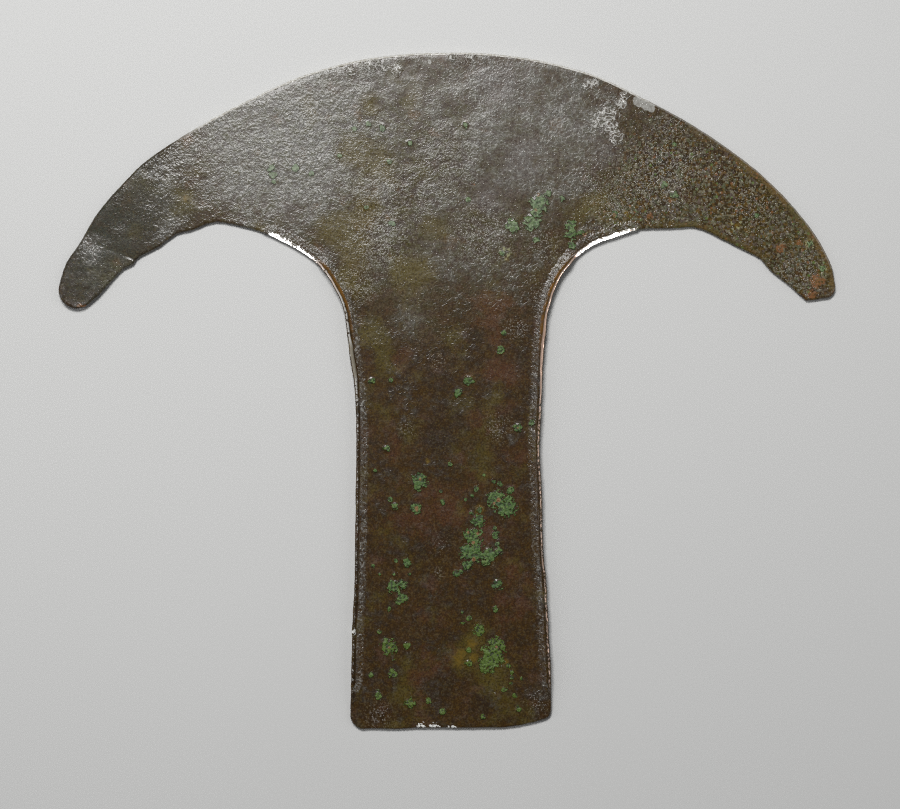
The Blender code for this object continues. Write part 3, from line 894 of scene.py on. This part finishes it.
# White specks, and painted glints along the foot's edge.
skin = mixed(ragged("white_and_glint", grain, 2.6, 0.30, 0.60), skin, white_and_glint)

# Where use and soil rubbed the flange's crest, the copper shows, and pale silver and pinkish white
# there paint in part the highlight the crest catches. Along the crown's edge a pale line is a
# painted highlight.
outer_lip = between(kept("edge_mm"), 0.10, 0.24)
narrowed = between(kept("ribbon"), 0.50, 0.85, 0.12, 0.0)
crest_top = times(between(plus(kept("crest_mm"), narrowed), 0.26, 0.08), outer_lip)
crest_worn_and_lit = plus(times(kept("toward_right"), 0.25), plus(kept("ribbon"), 0.10))
crest_worn_and_lit = plus(crest_worn_and_lit, times(kept("lit_crest"), 0.5))
crest_bare_and_highlit = times(crest_top, between(plus(crest_worn_and_lit, swing(grain, 2.6)), 0.20, 0.50))
# A pale line along the crown's edge, a painted highlight.
crown_highlight = times(kept("along_crown"), between(kept("edge_mm"), 0.46, 0.30))
inner_wall = times(between(kept("crest_mm"), 0.12, 0.26), between(kept("crest_mm"), 0.85, 0.60))
rusty_wall = times(kept("rusty_wall"), inner_wall)
skin = mixed(times(rusty_wall, between(blots, 0.36, 0.54, 0.3, 0.95)), skin, rust_orange)
skin = mixed(crown_highlight, skin, mixed(between(grain, 0.40, 0.60), bone, silver))
bevel = ragged("bevel", grain, 1.8, 0.42, 0.68)
rubbed_and_highlit = sums("MAXIMUM", crest_bare_and_highlit, bevel)
tinge = times(kept("toward_right"), crest_bare_and_highlit)
bare_grey_and_highlight = mixed(times(narrowed, 8.0), horn_grey, silver)
bare_metal_and_highlight = mixed(tinge, mixed(bevel, bare_grey_and_highlight, silver), copper)
# Pinkish white paints the crest's highlight where it catches the light.
bare_metal_and_highlight = mixed(times(kept("lit_crest"), 0.7), bare_metal_and_highlight, rosy_silver)
skin = mixed(times(rubbed_and_highlit, 0.9), skin, bare_metal_and_highlight)

# The green crusts, broken up into filigree, with the skin showing through.
crust_edge = plus(kept("malachite"), plus(swing(blots, 1.9), swing(grain, 0.8)))
crust_edge = plus(crust_edge, times(kept("small_crust"), 0.6))
crust = times(between(crust_edge, 0.20, 0.36), between(kept("malachite"), 0.02, 0.12))
knots = between(plus(times(ring, 0.8), swing(grain, 2.0)), 0.18, 0.40)
crust_green = mixed(between(patches, 0.34, 0.44), malachite_teal, malachite_green)
crust_green = mixed(kept("toward_foot"), crust_green, malachite_yellow)
crust_colour = mixed(knots, malachite_dark, crust_green)
lit_knots = times(between(grain, 0.50, 0.66), knots, between(kept("toward_foot"), 0.0, 1.0, 1.0, 0.55))
crust_colour = mixed(lit_knots, crust_colour, malachite_pale)
crust_colour = mixed(times(rusty, 0.8), crust_colour, cuprite)
# The crusts turn paler and greyer under the film and over the blade, and so take on the painted sheen
# there.
greyed = sums("MAXIMUM", times(film_and_sheen, 0.8), times(kept("thin_and_lit"), 0.95))
pale_knots = mixed(between(patches, 0.42, 0.56), malachite_grey, malachite_pale)
pale_crust = mixed(knots, malachite_shade, pale_knots)
frosted = sums("MAXIMUM", between(grain, 0.47, 0.58), times(film_and_sheen, 0.85))
pale_crust = mixed(frosted, pale_crust, malachite_frost)
crust_colour = mixed(greyed, crust_colour, pale_crust)
shows_through = times(greyed, between(dust, 0.49, 0.42, 0.0, 0.7))
crust_share = times(crust, between(film_and_sheen, 0.0, 1.0, 0.90, 0.75), rest_of(shows_through))
colour = mixed(crust_share, skin, crust_colour)
tree.links.new(colour, shader.inputs["Base Color"])

metal = sums("MAXIMUM", times(tinge, 0.4), bevel)
tree.links.new(times(metal, rest_of(crust)), shader.inputs["Metallic"])

# How dull each place is.
dull = between(film_and_sheen, 0.0, 1.0, 0.24, 0.30)
dull = plus(dull, times(band, 0.12))
dull = sums("SUBTRACT", dull, times(plus(kept("speckled"), kept("slate")), 0.06))
dull = sums("MINIMUM", dull, between(rubbed_and_highlit, 0.0, 1.0, 1.0, 0.24))
roughness = sums("MAXIMUM", dull, times(crust, 0.60))
tree.links.new(roughness, shader.inputs["Roughness"])

# The grain's own height: worm-like threads, grains, beads, and the crusts' small rings.
bump_depth = 0.00016
dome = between(bead, 0.36, 0.0)
stray_grain = times(between(veil, 0.46, 0.62, 0.05, 0.28), between(kept("slate"), 0.0, 0.8, 1.0, 0.34))
grainy = times(plus(kept("grainy"), stray_grain), between(mottle, 0.35, 0.62, 0.6, 1.15))
grainy = times(grainy, rest_of(times(kept("bare"), 0.85)))
grainy = plus(grainy, times(slope_band, 0.9))
grainy = plus(grainy, times(silvery, 1.5))
worm_share = times(between(kept("thin_and_lit"), 0.0, 0.8, 0.22, 0.08), between(kept("slate"), 0.0, 0.8, 1.0, 0.55))
surface = times(plus(times(worms, worm_share), times(grain, 0.56)), grainy)
dome_height = times(kept("speckled"), between(patches, 0.40, 0.60, 0.58, 1.10))
dome_height = plus(dome_height, between(kept("slate"), 0.2, 0.8, 0.06, 0.05))
dome_height = plus(dome_height, times(kept("thin_and_lit"), 0.16))
surface = plus(surface, times(dome, bead_share, dome_height))
surface = plus(surface, times(frost_and_glint, 0.22))
surface = times(surface, between(rubbed_and_highlit, 0.1, 0.6, 1.0, 0.03))
surface = times(surface, rest_of(times(band, 0.8)), rest_of(times(crown_highlight, 0.8)))
surface = plus(surface, times(crust, plus(ring, times(grain, 1.2))))
bump = node("Bump", {"Height": surface, "Strength": 1.0, "Distance": bump_depth})
tree.links.new(bump.outputs["Normal"], shader.inputs["Normal"])
shader.inputs["IOR"].default_value = 1.45
sheet.data.materials.append(patina)

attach(sheet, "root")
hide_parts("axe_money")
